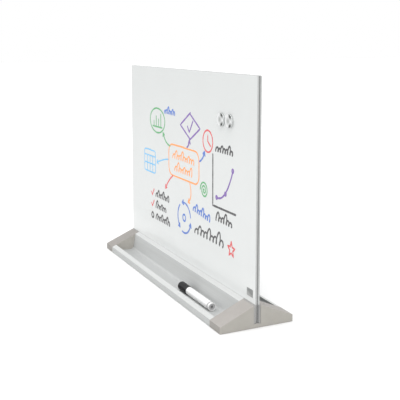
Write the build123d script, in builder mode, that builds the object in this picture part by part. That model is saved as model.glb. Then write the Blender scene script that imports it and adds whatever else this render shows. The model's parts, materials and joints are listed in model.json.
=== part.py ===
"""Magnetic desk whiteboard easel, modelled piece by piece in millimetres.

A double-sided glass board stands in the slot of an extruded aluminium base that has a pen
tray on each side and a moulded cap at each end.  A drywipe marker lies in the front tray and
two puck magnets hold on the front glass.

Frame: the origin is on the desk below the middle of the board, +X runs along the board,
-Y is the front and +Z is up.
"""

import os
from math import atan, cos

from build123d import *

# Driving dimensions -------------------------------------------------------------------

# Board: two glass panels, each backed by a steel sheet, bonded to a core sheet
board_width = 600.0
glass_height = 430.0
glass_thickness = 3.0
glass_corner_radius = 2.5
glass_arris = 0.4
steel_thickness = 0.5
core_thickness = 1.5
backing_inset = 1.0
board_seat_height = 8.6

# Base: depth and the slopes that rise from each lip to the board
base_depth = 145.5
lip_height = 13.0
peak_height = 42.5
foot_stand_off = 0.8
edge_radius = 0.8

# Extruded base profile
wall = 2.0
floor_thickness = 2.2
rail_land = 10.3
strip_land = 9.75
tray_back_lean = 6.75
tray_crease_radius = 6.0
tray_front_radius = 1.5
slot_clearance = 0.25
slot_floor_height = 6.0
slot_web_thickness = 1.8
slot_lip_height = 3.0
gasket_pocket_depth = 2.5
gasket_ledge_height = 6.0

# Slot gaskets and setting blocks
gasket_play = 0.1
gasket_tip_clearance = 0.2
gasket_back_thickness = 1.4
gasket_rib_count = 5
gasket_rib_height = 2.0
setting_block_length = 40.0
setting_block_spacing = 200.0
setting_block_count = 3
setting_block_play = 0.15

# Moulded end caps
cap_length = 40.0
cap_wall = 2.4
cap_rib_thickness = 1.6
cap_rib_pitch = 17.0
cap_rib_count = 2
cap_rib_start = 22.0
cap_rib_recess = 1.2
liner_thickness = 2.65
liner_floor = 1.2
liner_recess = 1.0
liner_play = 0.1
board_play = 0.2
tongue_play = 0.15
rail_tongue_length = 12.0
beam_tongue_length = 18.0
tongue_lead = 1.0

# Cap screws, driven from below through the extrusion into the tongues
screw_from_cap = 9.0
screw_from_middle = 14.0
screw_length = 9.0
screw_shank_radius = 1.45
screw_head_radius = 2.75
screw_sink = 0.1
screw_hole_play = 0.15
screw_pilot_play = 0.05
screw_pilot_spare = 1.0
screw_slot_width = 0.7
screw_slot_length = 3.2
screw_slot_depth = 0.9

# Feet, square pads pressed into bosses of the caps
foot_width = 12.0
foot_seat_depth = 1.2
foot_boss_wall = 2.0
foot_from_lip = 16.0
foot_play = 0.1
foot_edge = 0.4

# Drywipe marker, lying along the front tray with its cap to the left
marker_from_end_cap = 58.7
marker_from_board = 38.5
marker_gap = 0.05
marker_cap_radius = 8.5
marker_cap_length = 37.5
marker_cap_wall = 1.1
marker_cap_end = 1.6
marker_cap_shoulder = 0.9
flute_count = 12
flute_width = 1.2
flute_depth = 0.35
flute_start = 3.0
flute_length = 26.0
cap_fit = 0.06
barrel_radius = 7.95
barrel_length = 93.0
barrel_wall = 1.3
neck_length = 14.0
neck_wall = 1.2
plug_length = 7.0
plug_radius = 7.5
plug_groove_width = 1.2
plug_groove_radius = 6.8
plug_rim = 0.9
plug_dish_depth = 1.2
plug_dot_radius = 1.5
plug_dot_depth = 1.5
plug_spigot_length = 8.0
inner_fit = 0.05
holder_length = 12.0
holder_flange = 3.0
holder_tip_radius = 4.0
holder_shoulder = 0.5
holder_spigot_length = 8.0
nib_radius = 2.4
nib_edge = 0.8
nib_slant = 0.7
nib_reach = 7.0
nib_tail = 2.0
reservoir_radius = 5.2
reservoir_length = 70.0

# Puck magnets on the front glass
magnet_radius = 12.5
magnet_thickness = 4.6
magnet_edge = 0.7
magnet_disc_radius = 8.0
magnet_disc_thickness = 3.0
magnet_from_top = 85.1
magnet_from_end = 97.0
magnet_pitch = 32.5

# Sizes that follow --------------------------------------------------------------------

board_thickness = core_thickness + 2 * steel_thickness + 2 * glass_thickness
board_face = board_thickness / 2
board_middle_height = board_seat_height + glass_height / 2
base_half = base_depth / 2
underside = foot_stand_off
tray_floor = underside + floor_thickness
extrusion_length = board_width - 2 * cap_length
cap_inner_x = extrusion_length / 2
cap_middle_x = cap_inner_x + cap_length / 2
cap_outer_x = cap_inner_x + cap_length
slope = (peak_height - lip_height) / (base_half - board_face)
steepness = cos(atan(slope))
slot_half = board_face + slot_clearance
pocket_half = slot_half + gasket_pocket_depth
pocket_bottom = slot_floor_height + gasket_ledge_height
liner_inner = board_face + board_play
liner_outer = liner_inner + liner_thickness
liner_bottom = board_seat_height - liner_floor
cap_slot_half = liner_outer + liner_play


def slope_height(y):
    """Height of the sloping top of the base, y millimetres from the board's mid-plane."""
    return lip_height + (base_half - y) * slope


pocket_top = slope_height(slot_half) - slot_lip_height
rail_inner = base_half - rail_land
strip_outer = slot_half + strip_land
crease = strip_outer + tray_back_lean


def both_sides(points, mode=Mode.ADD):
    """Fill a closed outline on the +Y side of a section, and its twin on the -Y side."""
    for side in (-1, 1):
        Polygon(*[(side * y, z) for y, z in points], align=None, mode=mode)


def rail_chamber():
    """Outline of the hollow inside the rail of a tray."""
    outer = base_half - wall
    inner = rail_inner + wall
    low = underside + wall
    return [
        (inner, low),
        (outer, low),
        (outer, slope_height(outer) - wall / steepness),
        (inner, slope_height(inner) - wall / steepness),
    ]


def beam_chamber():
    """Outline of the hollow between the board's slot and the leaning back of a tray."""
    inner = pocket_half + wall
    low = underside + wall
    top_outer = strip_outer - wall
    top_height = slope_height(top_outer) - wall / steepness
    lean = tray_back_lean / (slope_height(strip_outer) - tray_floor)
    return [
        (inner, low),
        (top_outer + (top_height - low) * lean, low),
        (top_outer, top_height),
        (inner, slope_height(inner) - wall / steepness),
    ]


def screw_spots(side):
    """Places of the two cap screws at one end, on the underside of the extrusion."""
    x = side * (cap_inner_x - screw_from_cap)
    return [(x, -screw_from_middle), (x, screw_from_middle)]


def foot_spot(x_side, y_side):
    """Place of one foot on the desk."""
    return (x_side * cap_middle_x, y_side * (base_half - foot_from_lip))


def save(part, name):
    """Label a finished piece and write its STEP file."""
    part.label = name
    export_step(part, f"parts/{name}.step")


def save_mirrored(part, name):
    """Write the left-hand twin of a right-hand piece."""
    with BuildPart() as twin:
        mirror(part, about=Plane.YZ)
    save(twin.part, name)


os.makedirs("parts", exist_ok=True)

# Base extrusion: two trays, hollow rails and hollow beams on either side of the slot ----

extrusion_outline = [
    (0, slot_floor_height - slot_web_thickness),
    (pocket_half, slot_floor_height - slot_web_thickness),
    (pocket_half, underside),
    (base_half, underside),
    (base_half, lip_height),
    (rail_inner, slope_height(rail_inner)),
    (rail_inner, tray_floor),
    (crease, tray_floor),
    (strip_outer, slope_height(strip_outer)),
    (slot_half, slope_height(slot_half)),
    (slot_half, pocket_top),
    (pocket_half, pocket_top),
    (pocket_half, pocket_bottom),
    (slot_half, pocket_bottom),
    (slot_half, slot_floor_height),
    (0, slot_floor_height),
]
rounded_corners = [
    (crease, tray_floor, tray_crease_radius),
    (rail_inner, tray_floor, tray_front_radius),
    (base_half, lip_height, edge_radius),
    (rail_inner, slope_height(rail_inner), edge_radius),
    (strip_outer, slope_height(strip_outer), edge_radius),
]

with BuildPart() as base_extrusion:
    with BuildSketch(Plane.YZ.offset(-cap_inner_x)) as profile:
        both_sides(extrusion_outline)
        for y, z, radius in rounded_corners:
            for side in (-1, 1):
                corner = profile.vertices().sort_by_distance((side * y, z))[0]
                fillet(corner, radius)
        both_sides(rail_chamber(), Mode.SUBTRACT)
        both_sides(beam_chamber(), Mode.SUBTRACT)
    extrude(amount=extrusion_length)
    with Locations(Plane(origin=(0, 0, underside), x_dir=(1, 0, 0), z_dir=(0, 0, -1))):
        with Locations(*screw_spots(-1), *screw_spots(1)):
            CounterSinkHole(
                screw_shank_radius + screw_hole_play,
                screw_head_radius + screw_hole_play,
                depth=wall,
                counter_sink_angle=90,
            )
save(base_extrusion.part, "base_extrusion")

# End caps: hollow mouldings with ribs, foot bosses, a slot for the board and tongues -----

cap_outline = [
    (0, underside),
    (base_half, underside),
    (base_half, lip_height),
    (0, slope_height(0)),
]
cavity_inner = cap_slot_half + cap_wall
cavity_outer = base_half - cap_wall
cavity_outline = [
    (cavity_inner, underside - cap_wall),
    (cavity_outer, underside - cap_wall),
    (cavity_outer, slope_height(cavity_outer) - cap_wall / steepness),
    (cavity_inner, slope_height(cavity_inner) - cap_wall / steepness),
]
right_feet = [foot_spot(1, -1), foot_spot(1, 1)]
foot_seat = foot_width + 2 * foot_play
foot_boss = foot_seat + 2 * foot_boss_wall

with BuildPart() as cap_cavity:
    with BuildSketch(Plane.YZ.offset(cap_inner_x + cap_wall)):
        both_sides(cavity_outline)
    extrude(amount=cap_length - 2 * cap_wall)
    with BuildSketch(Plane.XY.offset(underside + cap_rib_recess)):
        for n in range(cap_rib_count):
            rib_y = cap_rib_start + n * cap_rib_pitch
            with Locations((cap_middle_x, -rib_y), (cap_middle_x, rib_y)):
                Rectangle(cap_length, cap_rib_thickness)
    extrude(amount=peak_height, mode=Mode.SUBTRACT)
    with BuildSketch(Plane.XY.offset(underside)):
        with Locations(*right_feet):
            Rectangle(foot_boss, foot_boss)
    extrude(amount=peak_height, mode=Mode.SUBTRACT)

with BuildPart() as end_cap_right:
    with BuildSketch(Plane.YZ.offset(cap_inner_x)):
        both_sides(cap_outline)
    extrude(amount=cap_length)
    end_edges = faces().sort_by(Axis.X)[-1].edges().group_by(Axis.Z)[1:]
    lip_edges = edges().filter_by(Axis.X).group_by(Axis.Z)[1]
    fillet([edge for group in end_edges for edge in group] + lip_edges, edge_radius)
    add(cap_cavity.part, mode=Mode.SUBTRACT)
    # Slot for the liner and the board, then the notch of the bridge block below it
    with BuildSketch(Plane.YZ.offset(cap_inner_x)):
        with Locations((0, liner_bottom)):
            Rectangle(2 * cap_slot_half, peak_height, align=(Align.CENTER, Align.MIN))
    extrude(amount=cap_length, mode=Mode.SUBTRACT)
    with BuildSketch(Plane.YZ.offset(cap_inner_x + cap_wall)):
        with Locations((0, liner_bottom)):
            Rectangle(2 * cap_slot_half, peak_height, align=(Align.CENTER, Align.MAX))
    extrude(amount=cap_length, mode=Mode.SUBTRACT)
    # Tongues that plug into the hollows of the extrusion
    for chamber, length in (
        (rail_chamber(), rail_tongue_length),
        (beam_chamber(), beam_tongue_length),
    ):
        with BuildSketch(Plane.YZ.offset(cap_inner_x)):
            both_sides(chamber)
            offset(amount=-tongue_play)
        extrude(amount=-length)
        tips = faces().filter_by(Axis.X).group_by(Axis.X)[0]
        chamfer(tips.edges(), tongue_lead)
    with BuildSketch(Plane.XY.offset(underside)):
        with Locations(*screw_spots(1)):
            Circle(screw_shank_radius + screw_pilot_play)
    extrude(amount=screw_length + screw_pilot_spare, mode=Mode.SUBTRACT)
    with BuildSketch(Plane.XY.offset(underside)):
        with Locations(*right_feet):
            Rectangle(foot_seat, foot_seat)
    extrude(amount=foot_seat_depth, mode=Mode.SUBTRACT)
save(end_cap_right.part, "end_cap_right")
save_mirrored(end_cap_right.part, "end_cap_left")

# Bridge blocks: fill the foot of each cap's slot, below the board ------------------------

with BuildPart() as bridge_block_right:
    with BuildSketch(Plane.YZ.offset(cap_inner_x + cap_wall)):
        with Locations((0, underside)):
            Rectangle(
                2 * (cap_slot_half - liner_play),
                liner_bottom - underside,
                align=(Align.CENTER, Align.MIN),
            )
    extrude(amount=cap_length - cap_wall)
save(bridge_block_right.part, "bridge_block_right")
save_mirrored(bridge_block_right.part, "bridge_block_left")

# Cap liners: rubber channels that hold the lower corners of the board ---------------------

liner_outline = [
    (0, liner_bottom),
    (liner_outer, liner_bottom),
    (liner_outer, slope_height(liner_outer)),
    (liner_inner, slope_height(liner_inner)),
    (liner_inner, board_seat_height),
    (0, board_seat_height),
]

with BuildPart() as cap_liner_right:
    with BuildSketch(Plane.YZ.offset(cap_inner_x)):
        both_sides(liner_outline)
    extrude(amount=cap_length - liner_recess)
save(cap_liner_right.part, "cap_liner_right")
save_mirrored(cap_liner_right.part, "cap_liner_left")

# Slot gaskets: ribbed strips in the pockets on both sides of the board --------------------

gasket_outer = pocket_half - gasket_play
gasket_back = gasket_outer - gasket_back_thickness
gasket_tip = board_face + gasket_tip_clearance
gasket_bottom = pocket_bottom + gasket_play
gasket_top = pocket_top - gasket_play
gasket_rib_pitch = (gasket_top - gasket_bottom) / gasket_rib_count
gasket_outline = [(gasket_back, gasket_bottom), (gasket_outer, gasket_bottom)]
gasket_outline += [(gasket_outer, gasket_top), (gasket_back, gasket_top)]
for n in range(gasket_rib_count):
    rib_middle = gasket_top - (n + 0.5) * gasket_rib_pitch
    gasket_outline.append((gasket_back, rib_middle + gasket_rib_height / 2))
    gasket_outline.append((gasket_tip, rib_middle))
    gasket_outline.append((gasket_back, rib_middle - gasket_rib_height / 2))

for name, side in (("slot_gasket_front", -1), ("slot_gasket_rear", 1)):
    with BuildPart() as slot_gasket:
        with BuildSketch(Plane.YZ.offset(-cap_inner_x)):
            with BuildLine():
                Polyline(*[(side * y, z) for y, z in gasket_outline], close=True)
            make_face()
        extrude(amount=extrusion_length)
    save(slot_gasket.part, name)

# Setting blocks: carry the board on the floor of the slot ----------------------------------

with BuildPart() as setting_blocks:
    with BuildSketch(Plane.XY.offset(slot_floor_height)):
        with GridLocations(setting_block_spacing, 0, setting_block_count, 1):
            Rectangle(setting_block_length, 2 * (slot_half - setting_block_play))
    extrude(amount=board_seat_height - slot_floor_height)
save(setting_blocks.part, "setting_blocks")

# Cap screws ----------------------------------------------------------------------------------


def cap_screws(side):
    """The two countersunk screws that hold the cap at one end."""
    head_z = underside + screw_sink
    with BuildPart() as screws:
        for x, y in screw_spots(side):
            with BuildSketch(Plane(origin=(x, y, head_z), x_dir=(1, 0, 0), z_dir=(0, -1, 0))):
                with BuildLine():
                    Polyline(
                        (0, 0),
                        (screw_head_radius, 0),
                        (screw_shank_radius, screw_head_radius - screw_shank_radius),
                        (screw_shank_radius, screw_length),
                        (0, screw_length),
                        close=True,
                    )
                make_face()
            revolve(axis=Axis((x, y, head_z), (0, 0, 1)))
        with BuildSketch(Plane.XY.offset(head_z)):
            with Locations(*screw_spots(side)):
                Rectangle(screw_slot_length, screw_slot_width)
                Rectangle(screw_slot_width, screw_slot_length)
        extrude(amount=screw_slot_depth, mode=Mode.SUBTRACT)
    return screws.part


save(cap_screws(-1), "cap_screws_left")
save(cap_screws(1), "cap_screws_right")

# Feet ----------------------------------------------------------------------------------------

for name, x_side, y_side in (
    ("foot_front_left", -1, -1),
    ("foot_front_right", 1, -1),
    ("foot_rear_left", -1, 1),
    ("foot_rear_right", 1, 1),
):
    with BuildPart() as foot:
        with BuildSketch(Plane.XY):
            with Locations(foot_spot(x_side, y_side)):
                Rectangle(foot_width, foot_width)
        extrude(amount=foot_stand_off + foot_seat_depth)
        chamfer(faces().sort_by(Axis.Z)[0].edges(), foot_edge)
    save(foot.part, name)

# Board ---------------------------------------------------------------------------------------


def glass_panel(back):
    """Glass panel with rounded corners and an arris, from back towards the front."""
    with BuildPart() as panel:
        with BuildSketch(Plane.XZ.offset(back)):
            with Locations((0, board_middle_height)):
                RectangleRounded(board_width, glass_height, glass_corner_radius)
        extrude(amount=glass_thickness)
        chamfer(faces().filter_by(Axis.Y).edges(), glass_arris)
    return panel.part


def backing_sheet(back, thickness):
    """Square-cut sheet behind the glass, from back towards the front."""
    with BuildPart() as sheet:
        with BuildSketch(Plane.XZ.offset(back)):
            with Locations((0, board_middle_height)):
                Rectangle(board_width - 2 * backing_inset, glass_height - 2 * backing_inset)
        extrude(amount=thickness)
    return sheet.part


core_half = core_thickness / 2
steel_outer = core_half + steel_thickness
save(backing_sheet(-core_half, core_thickness), "core_sheet")
save(backing_sheet(core_half, steel_thickness), "front_steel")
save(backing_sheet(-steel_outer, steel_thickness), "rear_steel")
save(glass_panel(steel_outer), "front_glass")
save(glass_panel(-board_face), "rear_glass")

# Drywipe marker --------------------------------------------------------------------------------

marker_axis_height = tray_floor + marker_gap + marker_cap_radius
marker_plane = Plane(
    origin=(0, -marker_from_board, marker_axis_height), x_dir=(1, 0, 0), z_dir=(0, -1, 0)
)
marker_axis = Axis((0, -marker_from_board, marker_axis_height), (1, 0, 0))
plug_end = cap_inner_x - marker_from_end_cap
barrel_end = plug_end - plug_length
barrel_start = barrel_end - barrel_length
marker_cap_tip = barrel_start - marker_cap_length
neck_start = barrel_start - neck_length
holder_start = neck_start - holder_length
cap_bore = marker_cap_radius - marker_cap_wall
neck_radius = cap_bore - cap_fit
neck_bore = neck_radius - neck_wall
barrel_bore = barrel_radius - barrel_wall


def turned(points):
    """Piece of the marker, turned from a half section of distance along X and radius."""
    with BuildPart() as piece:
        with BuildSketch(marker_plane):
            with BuildLine():
                Polyline(*points, close=True)
            make_face()
        revolve(axis=marker_axis)
    return piece.part


save(
    turned(
        [
            (neck_start, neck_bore),
            (neck_start, neck_radius),
            (barrel_start, neck_radius),
            (barrel_start, barrel_radius),
            (barrel_end, barrel_radius),
            (barrel_end, barrel_bore),
            (barrel_start + neck_wall, barrel_bore),
            (barrel_start + neck_wall, neck_bore),
        ]
    ),
    "marker_barrel",
)

plug_dish_radius = plug_radius - plug_rim
plug_dish = plug_end - plug_dish_depth
save(
    turned(
        [
            (barrel_end - plug_spigot_length, 0),
            (barrel_end - plug_spigot_length, barrel_bore - inner_fit),
            (barrel_end, barrel_bore - inner_fit),
            (barrel_end, plug_groove_radius),
            (barrel_end + plug_groove_width, plug_groove_radius),
            (barrel_end + plug_groove_width, plug_radius),
            (plug_end, plug_radius),
            (plug_end, plug_dish_radius),
            (plug_dish, plug_dish_radius),
            (plug_dish, plug_dot_radius),
            (plug_dish - plug_dot_depth, plug_dot_radius),
            (plug_dish - plug_dot_depth, 0),
        ]
    ),
    "marker_end_plug",
)

nib_bore = nib_radius + inner_fit
holder_end = neck_start + holder_spigot_length
save(
    turned(
        [
            (holder_start, nib_bore),
            (holder_start, holder_tip_radius),
            (neck_start - holder_flange, holder_tip_radius),
            (neck_start - holder_flange, neck_radius - holder_shoulder),
            (neck_start, neck_radius - holder_shoulder),
            (neck_start, neck_bore - inner_fit),
            (holder_end, neck_bore - inner_fit),
            (holder_end, nib_bore),
        ]
    ),
    "marker_nib_holder",
)

nib_tip = holder_start - nib_reach
nib_end = holder_end + nib_tail
save(
    turned(
        [
            (nib_end, reservoir_radius),
            (nib_end + reservoir_length, reservoir_radius),
            (nib_end + reservoir_length, 0),
            (nib_end, 0),
        ]
    ),
    "marker_reservoir",
)

with BuildPart() as marker_nib:
    add(turned([(nib_tip, 0), (nib_tip, nib_radius), (nib_end, nib_radius), (nib_end, 0)]))
    # Slanted chisel edge
    chisel_corner = (nib_tip, -marker_from_board, marker_axis_height - nib_radius + nib_edge)
    chisel = Plane(origin=chisel_corner, x_dir=(0, 1, 0), z_dir=(-1, 0, nib_slant))
    split(bisect_by=chisel, keep=Keep.BOTTOM)
save(marker_nib.part, "marker_nib")

with BuildPart() as marker_cap:
    with BuildSketch(marker_plane) as cap_section:
        with BuildLine():
            Polyline(
                (marker_cap_tip, 0),
                (marker_cap_tip, marker_cap_radius),
                (barrel_start, marker_cap_radius),
                (barrel_start, cap_bore),
                (marker_cap_tip + marker_cap_end, cap_bore),
                (marker_cap_tip + marker_cap_end, 0),
                close=True,
            )
        make_face()
        shoulder = cap_section.vertices().sort_by_distance((marker_cap_tip, marker_cap_radius))[0]
        chamfer(shoulder, marker_cap_shoulder)
    revolve(axis=marker_axis)
    # Grip flutes along the closed end
    flute_plane = Plane(
        origin=(marker_cap_tip + flute_start, -marker_from_board, marker_axis_height),
        z_dir=(1, 0, 0),
    )
    with BuildSketch(flute_plane):
        with PolarLocations(marker_cap_radius, flute_count):
            Rectangle(2 * flute_depth, flute_width)
    extrude(amount=flute_length, mode=Mode.SUBTRACT)
save(marker_cap.part, "marker_cap")

# Magnets ---------------------------------------------------------------------------------------

magnet_height = board_seat_height + glass_height - magnet_from_top
magnet_right_x = board_width / 2 - magnet_from_end
magnet_left_x = magnet_right_x - magnet_pitch
disc_bore = magnet_disc_radius + inner_fit


def magnet_shell(x):
    """Chromed puck of the magnet at x, with a recess at the back for the magnet disc."""
    centre = (x, -board_face, magnet_height)
    with BuildPart() as shell:
        with BuildSketch(Plane(origin=centre, x_dir=(0, -1, 0), z_dir=(1, 0, 0))):
            with BuildLine():
                Polyline(
                    (0, disc_bore),
                    (0, magnet_radius),
                    (magnet_thickness - magnet_edge, magnet_radius),
                    (magnet_thickness, magnet_radius - magnet_edge),
                    (magnet_thickness, 0),
                    (magnet_disc_thickness, 0),
                    (magnet_disc_thickness, disc_bore),
                    close=True,
                )
            make_face()
        revolve(axis=Axis(centre, (0, -1, 0)))
    return shell.part


def magnet_disc(x):
    """Rare-earth disc in the back of the magnet at x."""
    with BuildPart() as disc:
        with BuildSketch(Plane(origin=(x, -board_face, magnet_height), z_dir=(0, -1, 0))):
            Circle(magnet_disc_radius)
        extrude(amount=magnet_disc_thickness)
    return disc.part


for name, x in (("left", magnet_left_x), ("right", magnet_right_x)):
    save(magnet_shell(x), f"magnet_shell_{name}")
    save(magnet_disc(x), f"magnet_disc_{name}")
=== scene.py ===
"""Looks of the magnetic desk whiteboard easel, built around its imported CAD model.

Every CAD node keeps its shape and gets a procedural finish. The drawing in drywipe ink and the
plain badge on the front glass are made here. Lengths are in metres, except in the drawing and
the badge, which are laid out in millimetres.
"""

import json
from math import cos, pi, radians, sin

import bmesh
import bpy
from mathutils import Euler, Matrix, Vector


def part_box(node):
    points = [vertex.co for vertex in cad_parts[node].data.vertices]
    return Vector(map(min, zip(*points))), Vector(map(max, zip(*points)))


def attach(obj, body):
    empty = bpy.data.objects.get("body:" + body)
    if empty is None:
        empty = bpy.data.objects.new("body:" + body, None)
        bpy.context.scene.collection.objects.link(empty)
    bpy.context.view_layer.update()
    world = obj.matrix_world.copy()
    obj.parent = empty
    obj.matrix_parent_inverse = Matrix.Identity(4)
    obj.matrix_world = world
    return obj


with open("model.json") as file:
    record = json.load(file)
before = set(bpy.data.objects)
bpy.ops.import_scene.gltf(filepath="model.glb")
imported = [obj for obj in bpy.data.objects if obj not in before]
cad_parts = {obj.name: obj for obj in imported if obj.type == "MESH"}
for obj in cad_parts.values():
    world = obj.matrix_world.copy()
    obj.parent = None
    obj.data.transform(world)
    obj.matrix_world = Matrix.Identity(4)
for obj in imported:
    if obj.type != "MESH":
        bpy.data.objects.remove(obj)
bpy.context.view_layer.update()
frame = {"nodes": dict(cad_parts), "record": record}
nodes = frame["nodes"]
scene = bpy.context.scene
scene.view_settings.view_transform = "Standard"

MM = 0.001
slot_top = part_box("cap_liner_right")[1].z
glass_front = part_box("front_glass")[0].y

# Materials ------------------------------------------------------------------------------


def grey(level):
    """The same level in red, green and blue."""
    return (level, level, level)


class Shader:
    """A material of nodes around one Principled shader, patterned in object space."""

    def __init__(self, name, **values):
        """values are the shader's own sockets that are the same all over."""
        self.material = bpy.data.materials.new(name)
        self.material.use_nodes = True
        self.tree = self.material.node_tree
        self.bsdf = self.tree.nodes["Principled BSDF"]
        for socket, value in values.items():
            self.bsdf.inputs[socket.replace("_", " ")].default_value = value
        self.place = self.node("ShaderNodeTexCoord").outputs["Object"]

    def node(self, kind, **sockets):
        """A new node, with values or links for its named sockets."""
        made = self.tree.nodes.new(kind)
        for socket, value in sockets.items():
            self.put(made.inputs[socket.replace("_", " ")], value)
        return made

    def put(self, socket, value):
        """Links a socket of another node to this one, or sets a number or a colour."""
        if isinstance(value, bpy.types.NodeSocket):
            self.tree.links.new(value, socket)
        else:
            socket.default_value = value

    def noise(self, scale, stretch=(1, 1, 1), detail=2.0):
        """Noise with so many cells to the metre along each axis."""
        mapping = self.node("ShaderNodeMapping", Vector=self.place, Scale=stretch)
        return self.node(
            "ShaderNodeTexNoise", Vector=mapping.outputs[0], Scale=scale, Detail=detail
        ).outputs["Fac"]

    def ramp(self, value, low, high, start=0.3, end=0.7):
        """value from start to end becomes low to high, as numbers or as colours."""
        if isinstance(low, tuple):
            made = self.node("ShaderNodeValToRGB", Fac=value)
            stops = zip(made.color_ramp.elements, (start, end), (low, high))
            for stop, place, colour in stops:
                stop.position = place
                stop.color = (*colour, 1)
            return made.outputs["Color"]
        return self.node(
            "ShaderNodeMapRange", Value=value, From_Min=start, From_Max=end, To_Min=low, To_Max=high
        ).outputs["Result"]

    def tone(self, pattern, colour, spread):
        """A colour that is paler by spread where the pattern is high."""
        return self.ramp(pattern, colour, tuple(part + spread for part in colour))

    def rise(self, value, start, end):
        """0 up to start and 1 from end on."""
        return self.ramp(value, 0.0, 1.0, start, end)

    def fall(self, value, start, end):
        """1 up to start and 0 from end on."""
        return self.ramp(value, 1.0, 0.0, start, end)

    def mix(self, share, first, second):
        """The first colour where share is 0 and the second where it is 1."""
        made = self.tree.nodes.new("ShaderNodeMix")
        made.data_type = "RGBA"
        self.put(made.inputs["Factor"], share)
        for socket, colour in zip((made.inputs[6], made.inputs[7]), (first, second)):
            self.put(socket, (*colour, 1) if isinstance(colour, tuple) else colour)
        return made.outputs[2]

    def sums(self, kind, *values):
        """One step of arithmetic on numbers or sockets."""
        made = self.node("ShaderNodeMath")
        made.operation = kind
        for socket, value in zip(made.inputs, values):
            self.put(socket, value)
        return made.outputs[0]

    def both(self, first, second):
        """Where two masks meet."""
        return self.sums("MULTIPLY", first, second)

    def apart(self, value, middle):
        """How far a value is from the middle, either way."""
        return self.sums("ABSOLUTE", self.sums("SUBTRACT", value, middle))

    def along(self, axis):
        """The place along a named axis."""
        return self.node("ShaderNodeSeparateXYZ", Vector=self.place).outputs[axis]

    def facing(self, axis):
        """1 where a face looks along the axis, either way, and 0 where it does not."""
        turned_away, square_on = 0.85, 0.95
        normal = self.node("ShaderNodeNewGeometry").outputs["Normal"]
        share = self.node("ShaderNodeSeparateXYZ", Vector=normal).outputs[axis]
        return self.rise(self.sums("ABSOLUTE", share), turned_away, square_on)

    def polar(self, centre, axes):
        """Distance and angle round a centre, in the plane of two named axes."""
        first, second = (
            self.sums("SUBTRACT", self.along(axis), getattr(centre, axis.lower())) for axis in axes
        )
        squares = [self.sums("MULTIPLY", value, value) for value in (first, second)]
        radius = self.sums("SQRT", self.sums("ADD", *squares))
        return radius, self.sums("ARCTAN2", second, first)

    def colour(self, value):
        self.put(self.bsdf.inputs["Base Color"], value)

    def roughness(self, pattern, low, high):
        self.put(self.bsdf.inputs["Roughness"], self.ramp(pattern, low, high))

    def bump(self, pattern, depth, strength):
        made = self.node("ShaderNodeBump", Height=pattern, Distance=depth, Strength=strength)
        self.put(self.bsdf.inputs["Normal"], made.outputs["Normal"])

    def moulded(self, low, high):
        """The fine grain of a mould, with roughness from low to high."""
        grain = self.noise(1800, detail=3)
        self.roughness(grain, low, high)
        self.bump(grain, 0.02 * MM, 0.3)
        return grain


def aluminium():
    """Pale satin anodised extrusion, with fine die lines along X.

    Its tones are painted light and shade, lit and shaded copies of one colour: the floors are
    darker than the tops, the trays darker near the left cap, the walls darker towards the top,
    the rails darker on their inner sides and the outer front faces darker than the rest.
    """
    # Spans of the painted shade: near the left cap, up from the floor, up the walls, out to the
    # rails and out to the front.
    cap_shade_span = (-0.26, -0.12)
    above_floor = (0.0036, 0.0075)
    up_wall = (0.004, 0.030)
    out_to_rail, up_to_rail = (0.056, 0.060), (0.006, 0.012)
    to_front = (0.0718, 0.0724)

    s = Shader("aluminium_anodised", Metallic=0.1, Specular_IOR_Level=0.08)
    lines = s.noise(900, (0.004, 1, 1), 3)
    height = s.along("Z")
    off_middle = s.sums("ABSOLUTE", s.along("Y"))
    out_of_cap_shade = s.rise(s.along("X"), *cap_shade_span)

    # Painted shade: the floor darker than the tops, and darker still near the left cap.
    floor_in_cap_shade = s.tone(lines, (0.430, 0.440, 0.437), 0.05)
    floor_right = s.tone(lines, (0.490, 0.500, 0.497), 0.05)
    top = s.tone(lines, (0.545, 0.555, 0.550), 0.055)
    floor = s.mix(out_of_cap_shade, floor_in_cap_shade, floor_right)
    level = s.mix(s.rise(height, *above_floor), floor, top)

    # Painted shade: the wall darker near the left cap and towards the top.
    wall_in_cap_shade = s.tone(lines, (0.470, 0.480, 0.477), 0.05)
    wall_right = s.tone(lines, (0.560, 0.570, 0.567), 0.05)
    wall_high = s.tone(lines, (0.460, 0.470, 0.465), 0.05)
    wall_low = s.mix(out_of_cap_shade, wall_in_cap_shade, wall_right)
    wall = s.mix(s.rise(height, *up_wall), wall_low, wall_high)
    # Painted shade on the inner faces of the rails.
    rail_shade = s.both(s.rise(off_middle, *out_to_rail), s.rise(height, *up_to_rail))
    upright = s.mix(rail_shade, wall, (0.25, 0.255, 0.253))

    # Painted shade on the outer front faces.
    front = s.tone(lines, (0.415, 0.425, 0.420), 0.05)
    inner = s.mix(s.facing("Y"), level, upright)
    s.colour(s.mix(s.rise(off_middle, *to_front), inner, front))
    s.roughness(s.noise(120, (0.05, 1, 1)), 0.5, 0.6)
    s.bump(lines, 0.03 * MM, 0.5)
    return s.material


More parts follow.
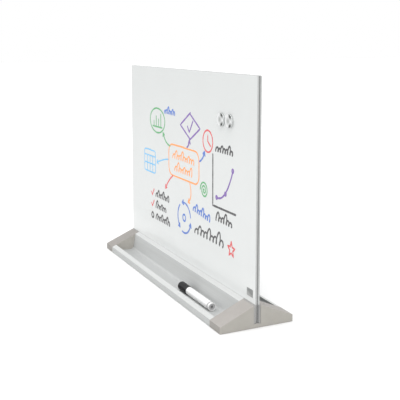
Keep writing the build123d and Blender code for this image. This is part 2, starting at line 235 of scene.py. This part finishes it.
def cap_plastic():
    """Warm grey moulding with a fine spark-eroded texture, in painted light and shade:
    each side of each cap takes a lighter or darker copy of one colour.
    """
    s = Shader("cap_moulding", Specular_IOR_Level=0.15)
    grain = s.noise(2600, detail=3)
    cloud = s.noise(60)
    off_x, off_y = 0.2, 0.004
    to_right = s.rise(s.along("X"), -off_x, off_x)
    to_rear = s.rise(s.along("Y"), -off_y, off_y)

    # Painted light and shade: lit and shaded copies of one colour for the slopes, the ends and the
    # lips, left and right, front and rear.
    left_slope = s.tone(cloud, (0.290, 0.274, 0.258), 0.02)
    right_slope = s.tone(cloud, (0.355, 0.336, 0.318), 0.02)
    rear_slope = s.tone(cloud, (0.320, 0.303, 0.287), 0.018)
    slope = s.mix(to_right, left_slope, s.mix(to_rear, right_slope, rear_slope))

    left_end = s.tone(cloud, (0.395, 0.379, 0.347), 0.02)
    right_end = s.tone(cloud, (0.310, 0.298, 0.272), 0.02)
    end = s.mix(to_right, left_end, right_end)

    shaded_lip = s.tone(cloud, (0.275, 0.261, 0.243), 0.02)
    s.colour(s.mix(s.facing("Y"), s.mix(s.facing("X"), slope, end), shaded_lip))
    s.roughness(grain, 0.50, 0.62)
    s.bump(grain, 0.05 * MM, 0.35)
    return s.material


def rubber(name, colour, spread):
    """Matt rubber with a coarse grain."""
    s = Shader(name, Specular_IOR_Level=0.3)
    grain = s.noise(1500, detail=3)
    s.colour(s.tone(grain, colour, spread))
    s.roughness(grain, 0.65, 0.8)
    s.bump(grain, 0.06 * MM, 0.4)
    return s.material


def sheet_metal(name, dark, light, rough):
    """Bare metal with lines along X, rough give or take a little."""
    s = Shader(name, Metallic=1.0)
    lines = s.noise(700, (0.02, 1, 1), 3)
    s.colour(s.ramp(lines, dark, light))
    s.roughness(lines, rough - 0.06, rough + 0.06)
    s.bump(lines, 0.02 * MM, 0.4)
    return s.material


def white_glass():
    """Clear glass painted white behind.

    Its faces are paler low down and at the right, which is painted light and shade. Its edges
    are polished, and darker where the base holds them, which is painted shade, darker on the
    rear glass than on the front. A painted shadow line runs along the faces where the board
    meets the base.
    """
    # Spans of the painted light and shade on the faces, of the painted shadow line at the seat and
    # of the painted shade on the edges in the slot.
    above_foot, up_board, along_board = (0.045, 0.10), (0.05, 0.40), (-0.30, 0.30)
    darker_up, darker_left = 0.62, 0.38
    seat_shadow_height, off_seat_shadow = slot_top - 0.0004, (0.0008, 0.0013)
    out_of_slot = (slot_top - 0.002, slot_top + 0.001)
    to_rear = (-0.001, 0.001)

    s = Shader("white_glass", Specular_IOR_Level=0.3, Coat_Weight=0.4, Coat_Roughness=0.04)
    height = s.along("Z")
    cloud = s.noise(9, detail=1)
    # Painted light and shade: paler at the foot and low at the right, darker high at the left.
    foot = s.tone(cloud, (0.685, 0.700, 0.695), 0.01)
    low_right = s.tone(cloud, (0.630, 0.645, 0.640), 0.01)
    high_left = s.tone(cloud, (0.525, 0.540, 0.535), 0.01)
    up = s.ramp(height, 0.0, darker_up, *up_board)
    leftwards = s.ramp(s.along("X"), darker_left, 0.0, *along_board)
    upper = s.mix(s.sums("ADD", up, leftwards), low_right, high_left)
    clear = s.mix(s.fall(height, *above_foot), upper, foot)
    # Painted shadow line where the board meets the base.
    line = s.tone(cloud, (0.500, 0.510, 0.505), 0.02)
    face = s.mix(s.rise(s.apart(height, seat_shadow_height), *off_seat_shadow), line, clear)

    grain = s.noise(900)
    # Painted shade on the edges inside the slot, darker on the rear glass.
    front_slot_edge_shade = s.tone(grain, (0.225, 0.225, 0.220), 0.03)
    rear_slot_edge_shade = s.tone(grain, (0.150, 0.153, 0.150), 0.028)
    slot_edge_shade = s.mix(s.rise(s.along("Y"), *to_rear), front_slot_edge_shade, rear_slot_edge_shade)
    polished = s.tone(s.noise(160), (0.345, 0.355, 0.35), 0.04)
    edge = s.mix(s.rise(height, *out_of_slot), slot_edge_shade, polished)
    s.colour(s.mix(s.facing("Y"), edge, face))
    s.roughness(s.noise(300), 0.28, 0.36)
    return s.material


def chrome_painted_reflections(node):
    """Chrome of a puck with painted reflections: two dark arcs in the rim of its front, a grey
    middle and a bright side, with painted shade on the side by the glass.
    """
    arc_angle, arc_fade = 0.90, (0.12, 0.75)
    rim, middle_fade = (0.0065, 0.0090), (0.002, 0.009)

    low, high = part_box(node)
    front_fade = (low.y + 0.0006, low.y + 0.0010)
    back_fade = (high.y - 0.0022, high.y - 0.0014)
    s = Shader(f"chrome_{node}", Metallic=1.0)
    radius, angle = s.polar((low + high) / 2, "XZ")
    depth = s.along("Y")
    on_front = s.fall(depth, *front_fade)
    shade_by_glass = s.rise(depth, *back_fade)
    # Painted reflections: the dark arcs in the rim and the grey middle of the front.
    in_reflection_arc = s.fall(s.apart(s.sums("ABSOLUTE", angle), arc_angle), *arc_fade)
    arc = s.both(s.both(in_reflection_arc, s.rise(radius, *rim)), on_front)
    middle = s.both(s.fall(radius, *middle_fade), on_front)

    # Painted reflection on the side, darker by the glass as painted shade.
    plain = s.tone(s.noise(400), (0.66, 0.67, 0.67), 0.06)
    side_reflection = s.tone(s.noise(400), (0.84, 0.85, 0.85), 0.04)
    side = s.mix(shade_by_glass, side_reflection, (0.60, 0.61, 0.605))
    face = s.mix(middle, s.mix(on_front, side, plain), (0.36, 0.37, 0.36))
    s.colour(s.mix(arc, face, (0.045, 0.05, 0.045)))
    s.roughness(s.noise(900, detail=3), 0.12, 0.2)
    return s.material


def core_board():
    """Grey board between the steel sheets, with painted shade where the base hides it."""
    out_of_slot = (slot_top - 0.003, slot_top + 0.004)
    s = Shader("core_board")
    grain = s.moulded(0.65, 0.75)
    clear = s.tone(grain, grey(0.17), 0.03)
    # Painted shade inside the slot.
    slot_shade = s.tone(grain, grey(0.062), 0.023)
    s.colour(s.mix(s.rise(s.along("Z"), *out_of_slot), slot_shade, clear))
    return s.material


def barrel_plastic():
    """Gloss white barrel, shaded where its end turns in to the plug's groove."""
    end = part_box("marker_barrel")[1].x
    to_groove = (end - 0.0011, end - 0.0006)
    s = Shader("marker_white", Coat_Weight=0.6, Coat_Roughness=0.08)
    white = s.tone(s.noise(90), grey(0.87), 0.02)
    s.colour(s.mix(s.rise(s.along("X"), *to_groove), white, grey(0.42)))
    s.moulded(0.25, 0.35)
    return s.material


def plug_plastic():
    """White plug of the marker, with a dark spigot and a grey dish that darkens inwards."""
    spigot_end, fade = 0.0058, 0.0001
    dot, dish_edge = (0.0012, 0.0040), (0.0064, 0.0067)

    low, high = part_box("marker_end_plug")
    collar = high.x - spigot_end
    s = Shader("marker_plug", Specular_IOR_Level=0.3)
    radius = s.polar((low + high) / 2, "YZ")[0]
    white = s.tone(s.noise(90), grey(0.80), 0.04)
    dish = s.mix(s.rise(radius, *dot), grey(0.13), (0.40, 0.40, 0.405))
    face = s.mix(s.rise(radius, *dish_edge), dish, white)
    s.colour(s.mix(s.fall(s.along("X"), collar, collar + fade), face, grey(0.15)))
    s.moulded(0.4, 0.5)
    return s.material


def cap_black():
    """Satin black of the marker's cap and nib holder."""
    s = Shader("marker_black", Specular_IOR_Level=0.35)
    s.colour(s.tone(s.noise(90), (0.006, 0.006, 0.007), 0.004))
    s.moulded(0.45, 0.55)
    return s.material


def felt():
    """Inky felt of the nib and the reservoir, with fibres along X."""
    s = Shader("felt", Sheen_Weight=0.3)
    fibres = s.noise(2200, (0.15, 1, 1), 4)
    s.colour(s.ramp(fibres, (0.012, 0.012, 0.014), (0.05, 0.05, 0.055)))
    s.roughness(fibres, 0.8, 0.95)
    s.bump(fibres, 0.1 * MM, 0.6)
    return s.material


def ink(name, colour):
    """Drywipe ink that lets the white board through in small patches."""
    share, board = 0.18, 0.8
    s = Shader(name)
    pale = tuple((1 - share) * part + share * board for part in colour)
    s.colour(s.ramp(s.noise(420, detail=3), colour, pale, 0.35, 0.75))
    s.roughness(s.noise(900), 0.38, 0.5)
    return s.material


finishes = {
    "aluminium": aluminium(),
    "cap_plastic": cap_plastic(),
    "liner_rubber": rubber("liner_rubber", (0.290, 0.286, 0.276), 0.032),
    "foot_rubber": rubber("foot_rubber", grey(0.02), 0.015),
    "screw_steel": sheet_metal("zinc_plate", (0.45, 0.46, 0.47), grey(0.6), 0.35),
    "white_glass": white_glass(),
    "backing_steel": sheet_metal("backing_steel", grey(0.2), grey(0.26), 0.5),
    "core_board": core_board(),
    "magnet": sheet_metal("magnet_nickel", grey(0.5), (0.62, 0.62, 0.61), 0.25),
    "marker_white": barrel_plastic(),
    "marker_plug": plug_plastic(),
    "marker_black": cap_black(),
    "felt": felt(),
}
for part in frame["record"]["subparts"]:
    node, slot = part["node"], part["material_slot"]
    mesh = nodes[node].data
    mesh.materials.clear()
    mesh.materials.append(chrome_painted_reflections(node) if slot == "chrome" else finishes[slot])

# Drawing on the front glass: X and height in millimetres ----------------------------------


def ellipse(x, z, rx, rz, start=0, end=375, count=44):
    """Arc from start to end in degrees. A whole one runs a little past its start."""
    steps = [radians(start + (end - start) * n / count) for n in range(count + 1)]
    return [(x + rx * cos(a), z + rz * sin(a)) for a in steps]


def round_corners(x, z, width, height, radius):
    """The four corners of a rectangle, clockwise from the top right."""
    points = []
    for sx, sz, start in ((1, 1, 90), (1, -1, 0), (-1, -1, -90), (-1, 1, -180)):
        corner = (x + sx * (width / 2 - radius), z + sz * (height / 2 - radius))
        points += ellipse(*corner, radius, radius, start, start - 90, 6)
    return points


def rounded_box(x, z, width, height, radius):
    """Outline from the middle of the top, clockwise, that runs a little past its start."""
    past, above = 4, 0.8
    top = z + height / 2
    return [(x, top)] + round_corners(x, z, width, height, radius) + [(x + past, top + above)]


def polyline(*corners, step=5.0):
    """Straight runs between the corners, cut into short steps."""
    made = [corners[0]]
    for a, b in zip(corners, corners[1:]):
        count = max(1, round(Vector((b[0] - a[0], b[1] - a[1])).length / step))
        made += [tuple(p + (q - p) * n / count for p, q in zip(a, b)) for n in range(1, count + 1)]
    return made


def scrawl(x, z, length, rise, tilt=0.0, start=0):
    """Loops of mixed height along a base line, which stand for writing.

    start is the place of the first loop in the row of heights.
    """
    heights = (1.0, 1.9, 0.9, 1.1, 2.1, 1.0, 0.8, 1.5, 1.0)
    steps, spacing, swing, slant = 12, 1.15, 0.27, 0.25
    turns = max(2, round(length / (spacing * rise)))
    points = []
    for n in range(steps * turns + 1):
        turn = n / steps
        loop = max(n - 1, 0) // steps
        height = rise * heights[(loop + start) % len(heights)]
        up = height * (1 - cos(2 * pi * turn)) / 2
        along = length * (turn - swing * sin(2 * pi * turn)) / turns + slant * up
        points.append((x + along, z + up + tilt * along))
    return points


def star(x, z, radius):
    """Five points, with the notches between them at a share of the radius."""
    notch = 0.42
    tips = [(radius if n % 2 == 0 else notch * radius, radians(90 + 36 * n)) for n in range(11)]
    return polyline(*[(x + r * cos(a), z + r * sin(a)) for r, a in tips], step=4)


def spiral(x, z, radius):
    """Turns that widen evenly, from a little off the centre."""
    turns, steps = 2.5, 16
    count = round(steps * turns)
    points = []
    for n in range(2, count + 1):
        out, angle = radius * n / count, 2 * pi * n / steps
        points.append((x + out * cos(angle), z + out * sin(angle)))
    return points


def bend(start, middle, end):
    """Curve from start to end, drawn towards middle."""
    count = 18
    points = []
    for n in range(count + 1):
        t = n / count
        shares = ((1 - t) ** 2, 2 * t * (1 - t), t * t)
        x, z = (sum(a * b for a, b in zip(shares, places)) for places in zip(start, middle, end))
        points.append((x, z))
    return points


def barbs(back, tip):
    """The two short strokes of an arrow's head, whose shaft comes from back."""
    length, spread = 8.0, 0.6
    arm = Vector((back[0] - tip[0], back[1] - tip[1])).normalized() * length
    made = []
    for turn in (-spread, spread):
        x = tip[0] + arm.x * cos(turn) - arm.y * sin(turn)
        z = tip[1] + arm.x * sin(turn) + arm.y * cos(turn)
        made.append(polyline((x, z), tip, step=2))
    return made


def arrow(start, middle, end):
    """A bent shaft and its head."""
    return [bend(start, middle, end)] + barbs(middle, end)


def tick(x, z, size):
    """A tick mark, whose corners are placed in shares of its size."""
    corners = ((-0.5, 0.0), (-0.1, -0.5), (0.7, 0.6))
    return polyline(*[(x + across * size, z + up * size) for across, up in corners], step=3)


def bars(x, z, width, heights):
    """Upright strokes a little above a base line."""
    gap = 3
    pitch = width / len(heights)
    made = [polyline((x, z), (x + width, z))]
    for n, height in enumerate(heights):
        along = x + (n + 0.5) * pitch
        made.append(polyline((along, z + gap), (along, z + gap + height)))
    return made


def cycle(x, z, radius, arcs):
    """Arrows that follow one another round a circle, with gaps in degrees at their ends."""
    span, gap = 360 / arcs, 12
    made = []
    for n in range(arcs):
        arc = ellipse(x, z, radius, radius, n * span + gap, (n + 1) * span - gap, 14)
        made += [arc] + barbs(arc[-2], arc[-1])
    return made


# Each ink's colour, the width of its strokes and the strokes themselves.
drawing = {
    "orange": (
        (0.83, 0.27, 0.035),
        3.4,
        [
            rounded_box(-2, 246, 150, 66, 18),
            scrawl(-56, 251, 104, 9.0),
            scrawl(-46, 225, 84, 9.0, start=3),
            *arrow((30, 210), (44, 182), (22, 170)),
        ],
    ),
    "purple": (
        (0.14, 0.05, 0.32),
        3.9,
        [
            polyline((30, 352), (78, 326), (32, 300), (-16, 325), (33, 353.5)),
            tick(30, 325, 22),
            bend((150, 204), (186, 200), (214, 262)),
            ellipse(150, 204, 3, 3),
            ellipse(186, 217, 3, 3),
            ellipse(214, 264, 3, 3),
            *arrow((16, 282), (28, 288), (28, 298)),
        ],
    ),
    "green": (
        (0.05, 0.33, 0.10),
        3.5,
        [
            ellipse(-140, 322, 42, 27, 80, 452),
            spiral(96, 208, 17),
            *bars(-166, 308, 52, (9, 20, 14, 26)),
            *arrow((-70, 274), (-96, 276), (-108, 298)),
        ],
    ),
    "red": (
        (0.62, 0.035, 0.04),
        3.5,
        [
            ellipse(112, 306, 21, 21, 100, 475),
            polyline((112, 306), (112, 320), (112, 306), (124, 298)),
            tick(-172, 156, 13),
            tick(-172, 130, 13),
            star(210, 118, 15),
            *arrow((-56, 212), (-84, 196), (-96, 178)),
        ],
    ),
    "blue": (
        (0.03, 0.13, 0.50),
        3.8,
        [
            *cycle(2, 133, 32, 3),
            ellipse(2, 133, 7, 7),
            scrawl(-100, 342, 54, 7.0, start=2),
            scrawl(46, 158, 74, 8.5, -0.1),
            *arrow((76, 262), (92, 268), (98, 284)),
        ],
    ),
    "sky": (
        (0.10, 0.42, 0.72),
        2.8,
        [
            rounded_box(-186, 226, 66, 50, 7),
            polyline((-218, 238), (-154, 238)),
            *[polyline((along, 237), (along, 203)) for along in (-202, -186, -170)],
            polyline((-218, 220), (-154, 220)),
            *arrow((-80, 244), (-110, 240), (-144, 228)),
        ],
    ),
    "black": (
        (0.012, 0.012, 0.014),
        4.1,
        [
            polyline((134, 284), (134, 186), (226, 186)),
            scrawl(148, 160, 62, 9.0, start=1),
            scrawl(-152, 150, 72, 8.0),
            scrawl(-152, 124, 56, 8.0, start=4),
            scrawl(54, 114, 122, 12.0, start=6),
            scrawl(146, 292, 66, 8.0, start=5),
            ellipse(-172, 103, 6, 6),
            scrawl(-152, 98, 76, 8.0, start=7),
        ],
    ),
}

# The ink stands proud of the glass by its depth. Each colour, each stroke and each stroke's end
# stand a little further out than the one before, so that strokes cross without flicker.
ink_depth = 0.05
layer_step = 0.01
stroke_step = 0.012
stroke_growth = 0.04
pen_wobble, wobble_turn = 0.08, 1.3
round_end = (pi / 4, pi / 2, 3 * pi / 4)


def ribbon(points, width, depth, verts, faces):
    """Adds one thin closed stroke with round ends on the glass to verts and faces."""
    line = [Vector(p) for p in points]
    last = len(line) - 1
    left, right = [], []
    for n, p in enumerate(line):
        side = (line[min(n + 1, last)] - line[max(n - 1, 0)]).orthogonal().normalized()
        pen = width / 2 * (1 + pen_wobble * sin(wobble_turn * n + width))
        left.append(p + side * pen)
        right.append(p - side * pen)
    ends = []
    for centre, start, inner in ((line[-1], left[-1], line[-2]), (line[0], right[0], line[1])):
        arm = start - centre
        out = (centre - inner).normalized() * arm.length
        ends.append([centre + arm * cos(a) + out * sin(a) for a in round_end])
    outline = left + ends[0] + right[::-1] + ends[1]
    shares = [n / last for n in range(last + 1)]
    extra = len(round_end)
    growth = shares + [1.0] * extra + shares[::-1] + [0.0] * extra

    base, count = len(verts), len(outline)
    verts += [(p.x * MM, glass_front, p.y * MM) for p in outline]
    verts += [
        (p.x * MM, glass_front - (depth + stroke_growth * share) * MM, p.y * MM)
        for p, share in zip(outline, growth)
    ]
    far = 2 * last + extra + 1  # the place of right[0] in the outline
    flat = [(n, n + 1, far - n - 1, far - n) for n in range(last)]
    flat += [range(last, last + extra + 2), (*range(far, far + extra + 1), 0)]
    for ring in flat:
        faces.append([base + i for i in ring])
        faces.append([base + count + i for i in reversed(ring)])
    for n in range(count):
        m = (n + 1) % count
        faces.append((base + m, base + n, base + count + n, base + count + m))


def piece(name, verts, faces, material, body):
    """A closed mesh piece that rides on a body."""
    mesh = bpy.data.meshes.new(name)
    mesh.from_pydata(verts, [], faces)
    shape = bmesh.new()
    shape.from_mesh(mesh)
    bmesh.ops.recalc_face_normals(shape, faces=shape.faces)
    shape.to_mesh(mesh)
    shape.free()
    mesh.materials.append(material)
    made = bpy.data.objects.new(name, mesh)
    scene.collection.objects.link(made)
    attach(made, body)


for layer, (name, (colour, width, strokes)) in enumerate(drawing.items()):
    verts, faces = [], []
    for number, points in enumerate(strokes):
        ribbon(points, width, ink_depth + layer_step * layer + stroke_step * number, verts, faces)
    piece(f"ink_{name}", verts, faces, ink(f"ink_{name}", colour), "board")

# Plain badge on the glass, in millimetres -------------------------------------------------

badge_x, badge_z = 280.6, 59.2
badge_width, badge_height, badge_thick, badge_bevel, badge_corner = 21.3, 14.0, 0.4, 0.15, 1.0


def badge_metal():
    """Satin metal with a painted sheen: paler below a slanting line through its middle."""
    slant, fade = 0.35, (-0.004, 0.001)
    s = Shader("badge_metal", Metallic=0.9)
    across = s.sums("ADD", s.along("Z"), s.sums("MULTIPLY", s.along("X"), slant))
    middle = (badge_z + slant * badge_x) * MM
    grain = s.noise(700, detail=3)
    # Painted sheen: the part below the line paler than the part above.
    dark = s.tone(grain, (0.27, 0.28, 0.275), 0.06)
    light = s.tone(grain, (0.43, 0.43, 0.425), 0.07)
    s.colour(s.mix(s.fall(across, middle + fade[0], middle + fade[1]), dark, light))
    s.roughness(grain, 0.38, 0.48)
    return s.material


def badge_ring(inset, out):
    """Rounded rectangle of the badge, out from the glass."""
    width, height = badge_width - 2 * inset, badge_height - 2 * inset
    outline = round_corners(badge_x, badge_z, width, height, badge_corner)
    return [(x * MM, glass_front - out * MM, z * MM) for x, z in outline]


rings = [
    badge_ring(0, 0),
    badge_ring(0, badge_thick - badge_bevel),
    badge_ring(badge_bevel, badge_thick),
]
side = len(rings[0])
faces = [tuple(range(side)), tuple(range(3 * side - 1, 2 * side - 1, -1))]
for low in (0, side):
    for n in range(side):
        m = (n + 1) % side
        faces.append((low + n, low + m, low + side + m, low + side + n))
piece("badge", sum(rings, []), faces, badge_metal(), "board")

# Stage: floor, light and camera -----------------------------------------------------------

reach = 15.0
floor_mesh = bpy.data.meshes.new("floor")
floor_mesh.from_pydata(
    [(-reach, -reach, 0), (reach, -reach, 0), (reach, reach, 0), (-reach, reach, 0)],
    [],
    [(0, 1, 2, 3)],
)
floor_look = Shader("floor_white", Roughness=0.9, Specular_IOR_Level=0.0)
floor_look.colour(floor_look.tone(floor_look.noise(3), grey(0.84), 0.02))
floor_mesh.materials.append(floor_look.material)
floor = bpy.data.objects.new("floor", floor_mesh)
scene.collection.objects.link(floor)

world = bpy.data.worlds.new("studio")
world.use_nodes = True
background = world.node_tree.nodes["Background"]
background.inputs["Color"].default_value = (1.0, 1.0, 1.0, 1)
background.inputs["Strength"].default_value = 1.0
scene.world = world

# Each sun's energy, how wide it is in degrees and the way from the object to it.
for name, energy, spread, source in (
    ("key", 0.90, 30, (0.44, -0.26, 0.86)),
    ("right", 0.80, 50, (0.88, -0.15, 0.45)),
    ("front", 0.20, 40, (-0.35, -0.86, 0.37)),
    ("side", 0.30, 18, (-0.29, -0.46, 0.84)),
    ("rear", 0.45, 40, (-0.25, 0.96, 0.10)),
):
    light = bpy.data.lights.new(name, "SUN")
    light.energy = energy
    light.angle = radians(spread)
    lamp = bpy.data.objects.new(name, light)
    lamp.rotation_euler = Vector(source).to_track_quat("Z", "Y").to_euler()
    scene.collection.objects.link(lamp)

# The camera was fitted to the corners of the board and the base. With this much shift the top
# of the board stays in the picture in views from higher up.
downward, heading = 8.128, 64.472
camera = bpy.data.cameras.new("camera")
camera.sensor_width = 36.0
camera.lens = 67.714
camera.shift_y = -0.13
camera_object = bpy.data.objects.new("camera", camera)
camera_object.location = (1.3886, -0.6303, 0.4961)
camera_object.rotation_euler = Euler((radians(90 - downward), 0, radians(heading)))
scene.collection.objects.link(camera_object)
scene.camera = camera_object
